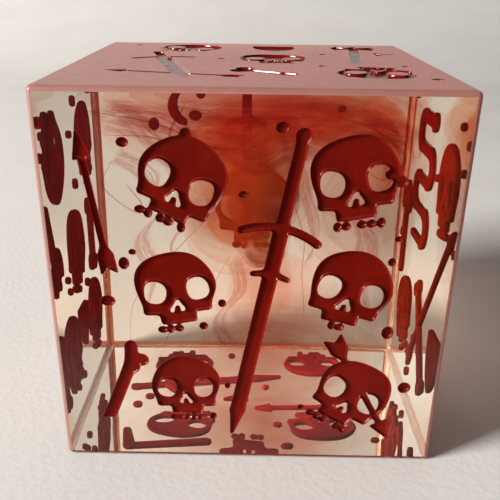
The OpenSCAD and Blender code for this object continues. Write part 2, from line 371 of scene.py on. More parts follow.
# %% Tables of tilts and drawings
SKULLS = {
    "skull_front_1": (-25, 1.03, {"knob": (-1.75, 4.6)}),
    "skull_front_2": (7.5, 1.03, {"knob": (5.1, -1.2), "glint": (3.75, -0.35)}),
    "skull_front_3": (7, 1, {}),
    "skull_front_4": (-14.5, 1.02, {}),
    "skull_front_5": (1, 0.9, {}),
    "skull_front_6": (-31, 1, {}),
    "skull_back_1": (0, 1.3, {}),
    "skull_left_1": (-20, 1.1, {}),
    "skull_left_2": (143, 1.15, {}),
    "skull_left_3": (15, 1.15, {}),
    "skull_left_4": (10, 1.1, {}),
    "skull_left_5": (-30, 1.15, {}),
    "skull_right_1": (-5, 1.15, {}),
    "skull_right_2": (-30, 1.15, {}),
    "skull_top_1": (-25, 1, {}),
    "skull_top_2": (3, 1, {}),
    "skull_top_3": (171, 1, {"knob": (3.4, 3.2)}),
    "skull_bottom_1": (20, 1, {}),
    "skull_bottom_2": (-15, 1, {}),
    "skull_bottom_3": (0, 1, {}),
    "skull_bottom_4": (-10, 1, {}),
}
DRAWINGS = {
    "sword_front": (-11, sword, (42.5, 12, 9.6, 0.98, 18)),
    "arrow_front": (8.7, arrow, (17.8, 3.3, 1.9)),
    "bone_front": (0, forked_bone, ()),
    "piercing_arrow_front": (208.5, arrow, (17.8, 3, 2.3)),
    "sword_back": (0, sword, (13.7, 6, 6, 0.9)),
    "crescent_back": (0, crescent, ()),
    "axe_left": (160, axe, (9.5, 3.6)),
    "bone_left": (-8, bone, (10, 1.8, True)),
    "thigh_bone_left": (0, bone, (9, 2.2, True)),
    "shield_left": (0, shield, (6,)),
    "snake_right": (0, snake, (4, 8, 1.9)),
    "arrow_right": (42, arrow, (36, 3.4, 2.6)),
    "bone_right": (-42, bone, (17, 1.8, True)),
    "shield_right": (0, shield, (8,)),
    "axe_right": (0, axe, (12, 3.4)),
    "sword_top": (14, sword, (28, 7, 9, 1.15)),
    "arrow_top": (76, arrow, (18.2, 2.6, 1.8)),
    "bone_top": (58, bone, (7.6, 2, False)),
    "axe_top": (-6, axe, (20, 3.8)),
    "shield_top": (0, shield, (7,)),
    "dart_top": (30, dart, (3.4,)),
    "pick_bottom": (0, pick, ()),
    "arrow_bottom": (85, arrow, (13, 2.6, 2.2)),
    "sword_bottom": (77, sword, (25, 6, 6.4, 0.95)),
    "dart_bottom": (-60, dart, (3.6,)),
}
MIDDLE = Vector((0, 0, HALF))
AXES = {  # for each face: which way is right, up and out, seen from outside
    "front": ((1, 0, 0), (0, 0, 1), (0, -1, 0)),
    "back": ((-1, 0, 0), (0, 0, 1), (0, 1, 0)),
    "left": ((0, -1, 0), (0, 0, 1), (-1, 0, 0)),
    "right": ((0, 1, 0), (0, 0, 1), (1, 0, 0)),
    "top": ((1, 0, 0), (0, 1, 0), (0, 0, 1)),
    "bottom": ((1, 0, 0), (0, -1, 0), (0, 0, -1)),
}


def face_of(node):
    return next(word for word in node.split("_") if word in AXES)


# %% [markdown]
# ## Reading places from the CAD model
# A CAD node that holds several solids, such as a skull and its loose teeth, is split into them.
# Each solid's box, seen flat on its face, says where the drawing goes.

# %% Boxes of the separate solids of a node, in layout units on its face


def flat_points(node):
    right, up, _ = (np.array(axis, float) for axis in AXES[face_of(node)])
    points = np.array([v.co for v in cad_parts[node].data.vertices]) - np.array(MIDDLE)
    return np.stack([points @ right, points @ up], 1) / UNIT


def solids_of(node):
    """(low, high) of each solid of a node, the largest first."""
    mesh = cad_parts[node].data
    flat = flat_points(node)
    spots = {}
    owner = [spots.setdefault(tuple(round(c * 1e7) for c in v.co), i) for i, v in enumerate(mesh.vertices)]
    root = list(range(len(owner)))

    def find(i):
        while root[i] != i:
            root[i] = root[root[i]]
            i = root[i]
        return i

    for edge in mesh.edges:
        a, b = (find(owner[i]) for i in edge.vertices)
        root[a] = b
    groups = {}
    for i in range(len(owner)):
        groups.setdefault(find(owner[i]), []).append(i)
    boxes = [(flat[g].min(0), flat[g].max(0)) for g in groups.values()]
    return sorted(boxes, key=lambda box: -float(np.prod(box[1] - box[0])))


# %% Fields on the face's grid
GRID_STEP = 0.2
GRID = np.arange(-25, 25 + GRID_STEP / 2, GRID_STEP)
FACE_X, FACE_Y = np.meshgrid(GRID, GRID, indexing="ij")
PROBE = np.arange(-45, 45, 0.25)
PROBE_X, PROBE_Y = np.meshgrid(PROBE, PROBE, indexing="ij")


def seated(draw, tilt, size, box, hold_top=False):
    """The drawing's field on the face, with the middle of its own box on the middle of the CAD box."""

    def field(x, y):
        x, y = turned(x / size, y / size, tilt)
        return draw(x, y) * size

    inside = field(PROBE_X, PROBE_Y) < 0
    own_low = np.array([PROBE_X[inside].min(), PROBE_Y[inside].min()])
    own_high = np.array([PROBE_X[inside].max(), PROBE_Y[inside].max()])
    shift = (box[0] + box[1] - own_low - own_high) / 2
    if hold_top:
        shift[1] = box[1][1] - own_high[1]
    return field(FACE_X - shift[0], FACE_Y - shift[1])


def drops(boxes):
    field = np.full(FACE_X.shape, 99.0)
    for index, (low, high) in enumerate(boxes):
        middle, r = (low + high) / 2, float(high[0] - low[0]) / 2
        lean = 0.12 * r * math.cos(2.4 * index)
        field = join(field, oval(FACE_X, FACE_Y, *middle, r + lean, r - lean), blend=0.05)
    return field


def node_field(node):
    boxes = solids_of(node)
    if node in SKULLS:
        tilt, size, extras = SKULLS[node]
        head = seated(lambda x, y: skull(x, y, sway=tilt / 10 + size, **extras), tilt, size, boxes[0])
        return np.minimum(head, drops(boxes[1:]) - 0.1)
    if node in DRAWINGS:
        tilt, draw, sizes = DRAWINGS[node]
        whole = (np.min([b[0] for b in boxes], 0), np.max([b[1] for b in boxes], 0))
        return seated(lambda x, y: draw(x, y, *sizes), tilt, 1, whole, hold_top=node == "sword_back")
    return drops(boxes)


FIELDS = {}
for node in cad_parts:
    if node.split("_")[0] not in ("resin", "dye"):
        FIELDS[node] = node_field(node)
print(f"{len(FIELDS)} engravings drawn")

# %% [markdown]
# ## Outlines at a chosen distance
# Marching squares walks the grid and finds where the field crosses a level. The crossings link up
# into closed outlines.

# %% Marching squares
CORNER_CASES = {1: "LB", 2: "BR", 3: "LR", 4: "RT", 6: "BT", 7: "LT", 8: "LT", 9: "BT", 11: "RT", 12: "LR",
                13: "BR", 14: "LB", 5: "LBRT", 10: "BRLT"}


def outlines(field, level):
    """Closed outlines where the field equals level, as arrays of points."""
    f = field - level
    f = np.where(np.abs(f) < 1e-6, 1e-6, f)
    low = (f < 0).astype(int)
    code = low[:-1, :-1] + 2 * low[1:, :-1] + 4 * low[1:, 1:] + 8 * low[:-1, 1:]
    points, links = {}, {}

    def crossing(key):
        if key not in points:
            i, j, way = key
            k, m = (i + 1, j) if way == "x" else (i, j + 1)
            t = f[i, j] / (f[i, j] - f[k, m])
            points[key] = (GRID[i] + t * (GRID[k] - GRID[i]), GRID[j] + t * (GRID[m] - GRID[j]))
        return key

    for i, j in zip(*np.nonzero((code > 0) & (code < 15))):
        sides = {"L": (i, j, "y"), "R": (i + 1, j, "y"), "B": (i, j, "x"), "T": (i, j + 1, "x")}
        case = CORNER_CASES[code[i, j]]
        for a, b in (case[k:k + 2] for k in range(0, len(case), 2)):
            a, b = crossing(sides[a]), crossing(sides[b])
            links.setdefault(a, []).append(b)
            links.setdefault(b, []).append(a)
    loops = []
    while links:
        start = next(iter(links))
        loop, here = [], start
        while here in links:
            loop.append(points[here])
            onward = [n for n in links.pop(here) if n in links]
            here = onward[0] if onward else None
        loops.append(np.array(loop))
    return [thinned(loop) for loop in loops if len(loop) > 5]


def thinned(loop, slack=0.004):
    """Leaves out points that lie on a nearly straight stretch."""
    for _ in range(2):
        before, after = np.roll(loop, 1, 0), np.roll(loop, -1, 0)
        run = after - before
        off = np.abs(run[:, 0] * (loop - before)[:, 1] - run[:, 1] * (loop - before)[:, 0])
        off /= np.maximum(np.hypot(*run.T), 1e-6)
        keep = (off > slack) | (np.arange(len(loop)) % 2 == 0) | (np.hypot(*run.T) > 1.6)
        loop = loop[keep] if keep.sum() > 6 else loop
    return loop


# %% [markdown]
# ## The shape of a recess
# A recess is cut a little over a third of a unit deep. Its rim is softened by polishing, its walls lean
# back a little and its floor runs into them with a fillet. The coat of paint follows the same
# shape just under the resin's skin, so that light in the resin meets paint and never a gap.

# %% Profile of a recess: distance from the outline, and depth
RECESS = [(0.05, 0.0), (0.02, -0.012), (0.0, -0.04), (-0.03, -0.14),
          (-0.07, -0.28), (-0.14, -0.35), (-0.28, -0.37)]
DEEPEST = -RECESS[-1][1]
SKIN = 0.025


def under_skin(profile):
    """The same profile moved into the resin by the skin's thickness."""
    moved = []
    for index, (d, z) in enumerate(profile):
        before, after = profile[max(index - 1, 0)], profile[min(index + 1, len(profile) - 1)]
        run_d, run_z = after[0] - before[0], after[1] - before[1]
        length = math.hypot(run_d, run_z)
        moved.append((d - SKIN * run_z / length, z + SKIN * run_d / length))
    return moved


COAT = under_skin(RECESS)[1:]


def patch(field, profile, reach, corners):
    """Flat points, their depths and triangles of a whole face engraved to this profile."""
    flat, depth, edges = [], [], []
    for d, z in profile:
        for loop in outlines(field, d):
            loop = loop[(np.abs(loop) < reach).all(1)]
            first = len(flat)
            flat += [tuple(p) for p in loop]
            depth += [z] * len(loop)
            edges += [(first + i, first + (i + 1) % len(loop)) for i in range(len(loop))]
    if corners:
        first = len(flat)
        flat += [(-reach, -reach), (reach, -reach), (reach, reach), (-reach, reach)]
        depth += [0.0] * 4
        edges += [(first + i, first + (i + 1) % 4) for i in range(4)]
    out = delaunay_2d_cdt([Vector(p) for p in flat], edges, [], 0, 1e-7)
    places = np.array([tuple(v) for v in out[0]])
    depths = np.array([depth[o[0]] if o else 0.0 for o in out[3]])
    return places, depths, np.array(out[2])


def level(depths, depth):
    return (np.abs(depths - depth) < 0.001).all(1)


def in_space(face, places, depths):
    right, up, away = (np.array(axis, float) for axis in AXES[face])
    flat = places[:, :1] * right + places[:, 1:] * up + (depths[:, None] + 25) * away
    return flat * UNIT + np.array(MIDDLE)


def sample(field, places):
    """The field's value at any points of the face, between the grid's own."""
    at = np.clip((places + 25) / GRID_STEP, 0, len(GRID) - 1.001)
    i, t = at.astype(int), at - at.astype(int)
    f = [[field[i[:, 0] + a, i[:, 1] + b] for b in (0, 1)] for a in (0, 1)]
    near = f[0][0] * (1 - t[:, 1]) + f[0][1] * t[:, 1]
    far = f[1][0] * (1 - t[:, 1]) + f[1][1] * t[:, 1]
    return near * (1 - t[:, 0]) + far * t[:, 0]


def new_object(name, points, faces, smooth):
    mesh = bpy.data.meshes.new(name)
    mesh.from_pydata(np.asarray(points).tolist(), [], [tuple(int(i) for i in f) for f in faces])
    mesh.polygons.foreach_set("use_smooth", np.broadcast_to(smooth, len(mesh.polygons)).copy())
    mesh.update()
    made = bpy.data.objects.new(name, mesh)
    bpy.context.scene.collection.objects.link(made)
    return made


# %% [markdown]
# ## The engraved faces and the coats of paint
# Each face of the block is one patch with all of its recesses. The coats are cut from a second
# patch, and every triangle goes to the engraving that it lies in.

# %% Build the six faces
EDGE_ROUND = 0.65
REACH = 25 - EDGE_ROUND
face_points, face_triangles, face_smooth = [], [], []
coats = {}
for face in AXES:
    names = [n for n in FIELDS if face_of(n) == face]
    stack = np.array([FIELDS[n] for n in names])
    whole = stack.min(0)
    places, depths, triangles = patch(whole, RECESS, REACH, True)
    flat_part = level(depths[triangles], 0.0) | level(depths[triangles], RECESS[-1][1])
    face_triangles.append(triangles + sum(len(p) for p in face_points))
    face_points.append(in_space(face, places, depths))
    face_smooth.append(~flat_part)
    places, depths, triangles = patch(whole, COAT, REACH, False)
    centres = places[triangles].mean(1)
    kept = sample(whole, centres) < COAT[0][0] + 0.004
    triangles, centres = triangles[kept], centres[kept]
    owner = np.argmin([sample(layer, centres) for layer in stack], 0)
    points = in_space(face, places, depths)
    for index, name in enumerate(names):
        mine = triangles[owner == index]
        used, packed = np.unique(mine, return_inverse=True)
        on_floor = level(depths[mine], COAT[-1][1])
        coats[name] = new_object(name + "_coat", points[used], packed.reshape(-1, 3), ~on_floor)
    print(face, len(names), "coats,", len(face_points[-1]), "points in the face")

# %% [markdown]
# ## Rounded edges of the cube
# The casting is sanded and polished, which rounds its edges by a little more than half a
# millimetre. The twelve edges and eight corners are strips of a rolling ball's path, welded to the
# six engraved faces so that the block is one closed skin.

# %% Edges and corners
SEGMENTS = 6


def ball(*direction):
    return np.array(direction, float) / np.linalg.norm(direction) * EDGE_ROUND


def in_cube(points):
    return np.array(points, float) * UNIT + np.array(MIDDLE)


def edge_strip(along, first, second):
    """The rounded edge that runs along one axis where two faces meet."""
    rows = []
    for k in range(SEGMENTS + 1):
        angle = 0.5 * math.pi * k / SEGMENTS
        lean = math.cos(angle) * first + math.sin(angle) * second
        rows.append([(first + second + end * along) * REACH + lean * EDGE_ROUND for end in (-1, 1)])
    quads = [(2 * k, 2 * k + 1, 2 * k + 3, 2 * k + 2) for k in range(SEGMENTS)]
    return [p for row in rows for p in row], quads


def corner_patch(first, second, third):
    """An eighth of a ball, as a triangle of small triangles."""
    spots, faces = {}, []
    for i in range(SEGMENTS + 1):
        for j in range(SEGMENTS + 1 - i):
            k = SEGMENTS - i - j
            turn = [math.sin(0.5 * math.pi * n / SEGMENTS) for n in (i, j, k)]
            spots[i, j] = (len(spots), ball(*(turn[0] * first + turn[1] * second + turn[2] * third)))
    for i, j in spots:
        if (i + 1, j) in spots and (i, j + 1) in spots:
            faces.append((spots[i, j][0], spots[i + 1, j][0], spots[i, j + 1][0]))
        if (i + 1, j) in spots and (i, j + 1) in spots and (i + 1, j + 1) in spots:
            faces.append((spots[i + 1, j][0], spots[i + 1, j + 1][0], spots[i, j + 1][0]))
    middle = (first + second + third) * REACH
    return [middle + offset for _, offset in spots.values()], faces


axis = np.eye(3)
block_points, block_faces, block_smooth = list(np.concatenate(face_points)), [], []
block_faces += [tuple(t) for t in np.concatenate(face_triangles)]
block_smooth += list(np.concatenate(face_smooth))
ENGRAVED_FACES = len(block_faces)
pieces_of_edge = []
for a in range(3):
    for s in (-1, 1):
        for t in (-1, 1):
            pieces_of_edge.append(edge_strip(axis[a], s * axis[(a + 1) % 3], t * axis[(a + 2) % 3]))
            pieces_of_edge += [corner_patch(axis[0] * u, axis[1] * s, axis[2] * t) for u in (-1, 1) if a == 0]
for points, faces in pieces_of_edge:
    first = len(block_points)
    block_points += list(in_cube(points))
    block_faces += [tuple(first + i for i in f) for f in faces]
    block_smooth += [True] * len(faces)
block = new_object("resin_cube", block_points, block_faces, block_smooth)
skin = bmesh.new()
skin.from_mesh(block.data)
bmesh.ops.remove_doubles(skin, verts=skin.verts, dist=2e-6)
bmesh.ops.recalc_face_normals(skin, faces=skin.faces)
open_edges = sum(not e.is_manifold for e in skin.edges)
skin.to_mesh(block.data)
skin.free()
print("block has", len(block.data.polygons), "faces and", open_edges, "open edges")

# %% [markdown]
# ## Finish of the resin
# Clear casting resin is a little less bright than glass and has a faint warm cast. It is flat and
# polished on the sides, and satin on the top and where the edges were sanded. The satin top and the
# front and top edges are painted pink, a painted glow of the dye seen through them, and those edges
# are painted paler towards the back. Light reaches the paint and the table through it, so shadow
# rays pass with a tint that stands for what the block bends away.

# %% Clear resin
SHADOW_TINT = (0.24, 0.2, 0.185, 1)
DIFFUSE_TINT = (0.5, 0.42, 0.38, 1)
WARM_CAST = {"Color": (0.91, 0.55, 0.0, 1), "Density": 5.8}
resin = Shader("polished_clear_resin")
smear = resin.noise(90, 4)
resin_gloss = 0.012 + resin.band(smear, 0.45, 0.75) * 0.03
ripple = resin.node("Bump", {}, {"Height": resin.noise(55, 2), "Strength": 0.035, "Distance": 0.002})
cast_tone = resin.mix(resin.noise(40, 2), (0.985, 0.965, 0.955, 1), (0.97, 0.94, 0.93, 1))
resin_face = resin.node("BsdfPrincipled", {}, {"Base Color": cast_tone, "Roughness": resin_gloss, "IOR": 1.5,
                                               "Specular IOR Level": 0.08,
                                               "Transmission Weight": 1.0, "Normal": ripple})
lets_through = resin.node("BsdfTransparent", {}, {"Color": SHADOW_TINT})
is_shadow = resin.node("LightPath", {}, {}, "Is Shadow Ray")
warm_cast = resin.node("VolumeAbsorption", {}, WARM_CAST)
seen = resin.node("MixShader", {}, {0: is_shadow, 1: resin_face, 2: lets_through})
is_scattered = resin.node("LightPath", {}, {}, "Is Diffuse Ray")
dimmed = resin.node("BsdfTransparent", {}, {"Color": DIFFUSE_TINT})
RESIN = resin.finish(resin.node("MixShader", {}, {0: is_scattered, 1: seen, 2: dimmed}), warm_cast)


def satin_resin(name, pale, deep, clear, painted_pale_at_back):
    """Resin that was sanded: part of the light is scattered by its skin."""
    made = Shader(name)
    rub = made.noise(700, 4)
    # The tone is painted: pink tones stand for the glow of the dye seen through the skin, and the last
    # argument paints it paler towards the back, as painted light
    behind = made.band(made.coordinate(1), 0.7 * HALF, 0.9 * HALF)
    tone = made.mix(behind * painted_pale_at_back, made.mix(rub, pale, deep), (0.95, 0.9, 0.86, 1))
    face = made.node("BsdfPrincipled", {}, {"Base Color": tone, "Roughness": 0.3 + rub * 0.2, "IOR": 1.5,
                                            "Transmission Weight": clear})
    seen = made.node("MixShader", {}, {0: made.node("LightPath", {}, {}, "Is Shadow Ray"), 1: face,
                                       2: made.node("BsdfTransparent", {}, {"Color": SHADOW_TINT})})
    shown = made.node("MixShader", {}, {0: made.node("LightPath", {}, {}, "Is Diffuse Ray"), 1: seen,
                                        2: made.node("BsdfTransparent", {}, {"Color": DIFFUSE_TINT})})
    return made.finish(shown, made.node("VolumeAbsorption", {}, WARM_CAST))


# Pink tones here are a painted glow of the dye; the soft edge keeps the pale tone of frosted resin
SANDED_EDGE_GLOW = satin_resin("sanded_resin_edge_painted_glow", (0.68, 0.4, 0.34, 1), (0.56, 0.28, 0.23, 1), 0.6, 1.0)
SOFT_EDGE = satin_resin("soft_resin_edge", (0.97, 0.93, 0.9, 1), (0.93, 0.88, 0.84, 1), 0.88, 0.0)
SATIN_TOP_GLOW = satin_resin("satin_resin_top_painted_glow", (0.82, 0.34, 0.28, 1), (0.78, 0.3, 0.24, 1), 0.6, 0.0)
finishes = [RESIN, SANDED_EDGE_GLOW, SATIN_TOP_GLOW, SOFT_EDGE]
for finish in finishes:
    block.data.materials.append(finish)
# Edges in front and on top get the pink painted glow; the other edges stay pale
for face in block.data.polygons[ENGRAVED_FACES:]:
    in_front = face.center.y < -0.9 * HALF and face.center.z > 0.1 * HALF
    shows_painted_glow = in_front or face.center.z > 1.9 * HALF
    face.material_index = finishes.index(SANDED_EDGE_GLOW if shows_painted_glow else SOFT_EDGE)
# The flat top gets the satin finish with its painted pink glow
for face in block.data.polygons[:ENGRAVED_FACES]:
    if face.normal.z > 0.99 and face.center.z > SIDE - 0.02 * UNIT:
        face.material_index = finishes.index(SATIN_TOP_GLOW)
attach(block, "root")
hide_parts("resin_block")
print("resin done")

# %% [markdown]
# ## Finish of the paint
# The recesses are coated with thick gloss enamel, blood red, brushed in by hand. It is deeper in
# the middle of a floor and a shade brighter where it thins out. The resin's own skin lies over
# it and gives the hard gloss.

# %% Gloss red paint, and its matt back, which is painted brighter as painted light


def paint_material(name, thick, thin, streak, gloss, shine, wall_gloss, right_shade):
    made = Shader(name)
    wall = made.band(made.outward(), HALF - (DEEPEST - 0.03) * UNIT, HALF - (DEEPEST - 0.15) * UNIT)
    brushed = made.noise(900, 3, (1.0, 1.0, 0.25))
    red = made.mix(made.band(made.noise(260, 4), 0.35, 0.7), thick, thin)
    red = made.mix(made.band(brushed, 0.55, 0.8) * 0.35, red, streak)
    # Painted shade: near the right side of the block the red is mixed towards a dark brown, as much as the
    # last argument asks
    rightwards = made.band(made.coordinate(0), 0.85 * HALF, 0.95 * HALF)
    red = made.mix(rightwards * right_shade, red, (0.2, 0.026, 0.008, 1))
    relief = made.node("Bump", {}, {"Height": brushed, "Strength": 0.25, "Distance": 0.0002})
    return made.finish(made.node("BsdfPrincipled", {}, {
        "Base Color": red, "Roughness": gloss + made.band(brushed, 0.3, 0.7) * 0.12,
        "Specular IOR Level": shine,
        "Coat Weight": wall * wall_gloss, "Coat Roughness": 0.1, "Normal": relief}))


# The back of the paint, seen from inside the resin, is painted about three times brighter than its front:
# painted light for what reaches it through the resin. It also takes the painted shade near the right side.
PAINT_BACK_LIT = paint_material("back_of_red_enamel_painted_lit", (0.38, 0.013, 0.005, 1), (0.48, 0.022, 0.009, 1),
                            (0.3, 0.009, 0.004, 1), 0.8, 0.0, 0.0, 0.8)
PAINT_FRONT = paint_material("brushed_red_enamel", (0.125, 0.0045, 0.002, 1), (0.155, 0.006, 0.003, 1),
                             (0.1, 0.004, 0.002, 1), 0.12, 0.06, 1.0, 0.0)
for name, coat in coats.items():
    coat.data.materials.append(PAINT_FRONT)
    coat.data.materials.append(PAINT_BACK_LIT)
    body = coat.modifiers.new("thickness", "SOLIDIFY")
    body.thickness = 2 * SKIN * UNIT
    body.offset = 1
    body.material_offset = 1
    body.material_offset_rim = 1
    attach(coat, "root")
    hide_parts(name)
print(len(coats), "coats painted")

# %% [markdown]
# ## Dye in the resin
# A few drops of red dye were let fall into the resin as it set. The core hangs as a plume of
# soft puffs, and thin veils and threads trail from it under the top face. A puff is a nest of
# faint shells, so that it thickens towards its middle and has no edge. The core and its glow are
# matt and hide part of what is behind them; the thinner dyes only colour the light that passes.
# A few nearly grey puffs, low down and near the right side, are no dye but painted shade.

# %% Dye materials


def dye_material(name, pale, deep, faint, strong, grain):
    made = Shader(name)
    cloud = made.noise(grain, 3, distortion=0.6)
    share = made.band(cloud, 0.36, 0.66)
    tone = made.mix(share, pale, deep)
    veil_share = faint + share * (strong - faint)
    return made.finish(made.node("BsdfPrincipled", {}, {
        "Base Color": tone, "Roughness": 0.9, "Specular IOR Level": 0.0, "Alpha": veil_share}))


CORE_DYE = dye_material("core_of_red_dye", (0.6, 0.16, 0.026, 1), (0.48, 0.085, 0.01, 1), 0.06, 0.34, 170)


def filter_material(name, weak, strong, grain):
    """Dye, or grey painted shade, so thin that it only colours the light that passes: each shell takes its
    share.
    """
    made = Shader(name)
    share = made.band(made.noise(grain, 3, distortion=0.6), 0.34, 0.66)
    tone = made.mix(share, weak, strong)
    return made.finish(made.node("BsdfPrincipled", {}, {
        "Base Color": tone, "Roughness": 0.0, "IOR": 1.0, "Transmission Weight": 1.0}))


GLOW_DYE = dye_material("glow_of_red_dye", (0.78, 0.27, 0.05, 1), (0.66, 0.17, 0.026, 1), 0.02, 0.12, 110)
HALO_DYE = filter_material("halo_of_red_dye", (0.985, 0.9, 0.85, 1), (0.955, 0.78, 0.7, 1), 110)
CAP_DYE = filter_material("cap_of_rose_dye", (0.978, 0.865, 0.84, 1), (0.96, 0.775, 0.745, 1), 90)
ROSE_DYE = filter_material("haze_of_rose_dye", (0.995, 0.965, 0.955, 1), (0.98, 0.9, 0.875, 1), 90)
# Painted shade: a nearly grey filter, no dye, put low down and near the right side where less light reaches
GREY_SHADE_FILTER = filter_material("grey_filter_of_painted_shade", (0.968, 0.95, 0.943, 1), (0.944, 0.913, 0.9, 1), 90)
THREAD_DYE = filter_material("thread_of_red_dye", (0.84, 0.5, 0.46, 1), (0.74, 0.32, 0.28, 1), 200)


def dye_object(name, points, faces, material, node=None):
    made = new_object(name, in_dye(points), faces, True)
    made.data.materials.append(material)
    made.visible_shadow = material == CORE_DYE
    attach(made, "root")
    if node:
        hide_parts(node)
    return made


def in_dye(points):
    """The points in metres, pressed inwards near the skin of the block so that none break through it."""
    low, high, give = np.array([-24.2, -24.2, 0.8]), np.array([24.2, 24.2, 49.2]), 1.5
    points = np.array(points, float)
    over, under = np.maximum(points - high + give, 0), np.maximum(low + give - points, 0)
    return (points - over + give * np.tanh(over / give) + under - give * np.tanh(under / give)) * UNIT


def waves(points, seed, size):
    """A smooth wandering push for each point, made of a few sines: the same in every run."""
    push = np.zeros(points.shape)
    for k in range(1, 6):
        for i in range(3):
            spin = np.array([math.sin(seed * 1.7 + k * 2.1 + i), math.cos(seed * 2.3 + k * 1.3 + 2 * i),
                             math.sin(seed * 0.9 - k * 1.9 + 4 * i)])
            push[:, i] += np.sin(points @ spin * (0.75 + 0.5 * k) / size + seed * 5 + 3 * i) / k
    return push


# %% Puffs of the plume: middle, radii, how far it wanders, finish
PUFFS = [
    ((2.5, 0.5, 39.8), (6.0, 6.0, 5.0), 1.3, CORE_DYE),
    ((2.0, -0.5, 33.5), (5.0, 4.8, 7.0), 1.2, CORE_DYE),
    ((1.6, 0.5, 27.0), (3.8, 3.8, 6.0), 1.0, CORE_DYE),
    ((-2.0, 2.0, 33.5), (9.5, 7.5, 10.5), 1.9, GLOW_DYE),
    ((7.5, 0.0, 42.0), (14.5, 9.5, 5.5), 1.4, GLOW_DYE),
    ((0.0, 1.0, 36.0), (9.0, 8.0, 10.0), 1.8, HALO_DYE),
    ((-2.0, 0.0, 29.5), (7.6, 6.6, 8.0), 1.6, HALO_DYE),
    ((-3.5, 2.0, 38.0), (8.6, 7.5, 6.0), 2.0, HALO_DYE),
    ((6.0, 2.0, 43.0), (13.0, 10.0, 4.4), 1.3, HALO_DYE),
    ((14.0, 3.0, 42.5), (9.5, 12.0, 5.0), 1.4, HALO_DYE),
    ((1.0, 0.0, 19.0), (5.6, 5.2, 9.0), 1.4, ROSE_DYE),
    ((0.0, 0.0, 46.6), (23.2, 23.2, 2.0), 0.4, CAP_DYE),
    ((2.0, -14.0, 45.4), (21.0, 9.0, 3.4), 0.7, ROSE_DYE),
    ((18.4, -4.0, 40.0), (4.6, 18.0, 8.5), 0.9, ROSE_DYE),
    # Grey puffs of painted shade, no dye
    ((15.5, 0.0, 31.0), (8.0, 13.0, 9.0), 1.4, GREY_SHADE_FILTER),
    ((19.4, 0.0, 30.0), (3.2, 19.0, 16.0), 0.6, GREY_SHADE_FILTER),
    # Grey puff of painted shade low down, no dye
    ((2.0, 2.0, 7.5), (19.0, 18.0, 6.0), 0.8, GREY_SHADE_FILTER),
    ((-8.0, 0.0, 42.0), (14.0, 17.0, 4.5), 1.6, ROSE_DYE),
    ((13.0, 2.0, 33.0), (10.0, 14.0, 12.0), 2.2, ROSE_DYE),
    ((4.0, 4.0, 16.0), (10.0, 10.0, 9.0), 2.0, ROSE_DYE),
    ((-3.0, -3.0, 5.4), (19.0, 17.0, 4.0), 0.8, ROSE_DYE),
    ((6.0, 6.0, 6.0), (16.0, 16.0, 4.5), 0.8, ROSE_DYE),
    ((18.0, 1.0, 40.0), (4.8, 15.0, 7.5), 1.0, HALO_DYE),
]
SHELLS = (1.0, 0.86, 0.72, 0.58, 0.44, 0.3)


def puff(middle, radii, wander, seed):
    rings, turns = 20, 30
    ball_points = [(0, 0, -1)]
    for i in range(1, rings):
        polar = math.pi * i / rings
        for j in range(turns):
            angle = 2 * math.pi * j / turns
            ball_points.append((math.sin(polar) * math.cos(angle), math.sin(polar) * math.sin(angle),
                                -math.cos(polar)))
    ball_points.append((0, 0, 1))
    ball_points = np.array(ball_points) * radii
    last = len(ball_points) - 1
    quads = [(0, 1 + (j + 1) % turns, 1 + j) for j in range(turns)]
    for i in range(rings - 2):
        for j in range(turns):
            a, b = 1 + i * turns + j, 1 + i * turns + (j + 1) % turns
            quads.append((a, b, b + turns, a + turns))
    quads += [(last, last - turns + j, last - turns + (j + 1) % turns) for j in range(turns)]
    points, faces = [], []
    for index, scale in enumerate(SHELLS):
        shell = ball_points * scale
        shell = shell + waves(shell, seed + 0.37 * index, max(radii)) * wander * 0.6 * scale
        faces += [tuple(index * len(shell) + n for n in quad) for quad in quads]
        points.append(shell + np.array(middle))
    return np.concatenate(points), faces


for index, (middle, radii, wander, material) in enumerate(PUFFS):
    points, faces = puff(middle, radii, wander, index + 1)
    dye_object(f"dye_puff_{index + 1}", points, faces, material, "dye_plume" if index == 0 else None)
print(len(PUFFS), "puffs of dye")

# %% [markdown]
# ## Veils and threads
# A veil is a film of dye that the falling drop drew out into streaks. It is seen best where it
# folds or stands edge on. Each is an open sheet along a wandering path, and its finish is mostly
# clear, with streaks that run along the film and fade before its borders.

# %% Veil material, streaked along the film
film = Shader("streaked_veil_of_dye")
across = film.node("TexCoord", {}, {}, "UV")
halves = film.node("SeparateXYZ", {}, {0: across}, 0)
run_u, run_v = Wire(film, halves.socket.node.outputs[0]), Wire(film, halves.socket.node.outputs[1])
bend = film.noise(160, 2)
slanted = film.node("CombineXYZ", {}, {"X": run_u * 1.6, "Y": run_v * 5.5 + bend * 2.0})
streaks = film.node("TexNoise", {}, {"Vector": slanted, "Scale": 1.7, "Detail": 4.0})
lines = (1.0 - abs(abs(streaks - 0.5) - 0.06) * 14.0).most(0.0)
film_body = film.band(streaks, 0.45, 0.7)
fade = film.band(run_u, 0.0, 0.2) * film.band(1.0 - run_u, 0.0, 0.2)
fade = fade * film.band(run_v, 0.0, 0.18) * film.band(1.0 - run_v, 0.0, 0.3)
film_tone = film.mix(film_body * fade, (1, 1, 1, 1), (0.72, 0.3, 0.26, 1))
film_tone = film.mix(lines * fade, film_tone, (0.62, 0.2, 0.16, 1))
VEIL_DYE = film.finish(film.node("BsdfPrincipled", {}, {
    "Base Color": film_tone, "Roughness": 0.0, "IOR": 1.0, "Transmission Weight": 1.0}))

# %% Shapes of veils and threads


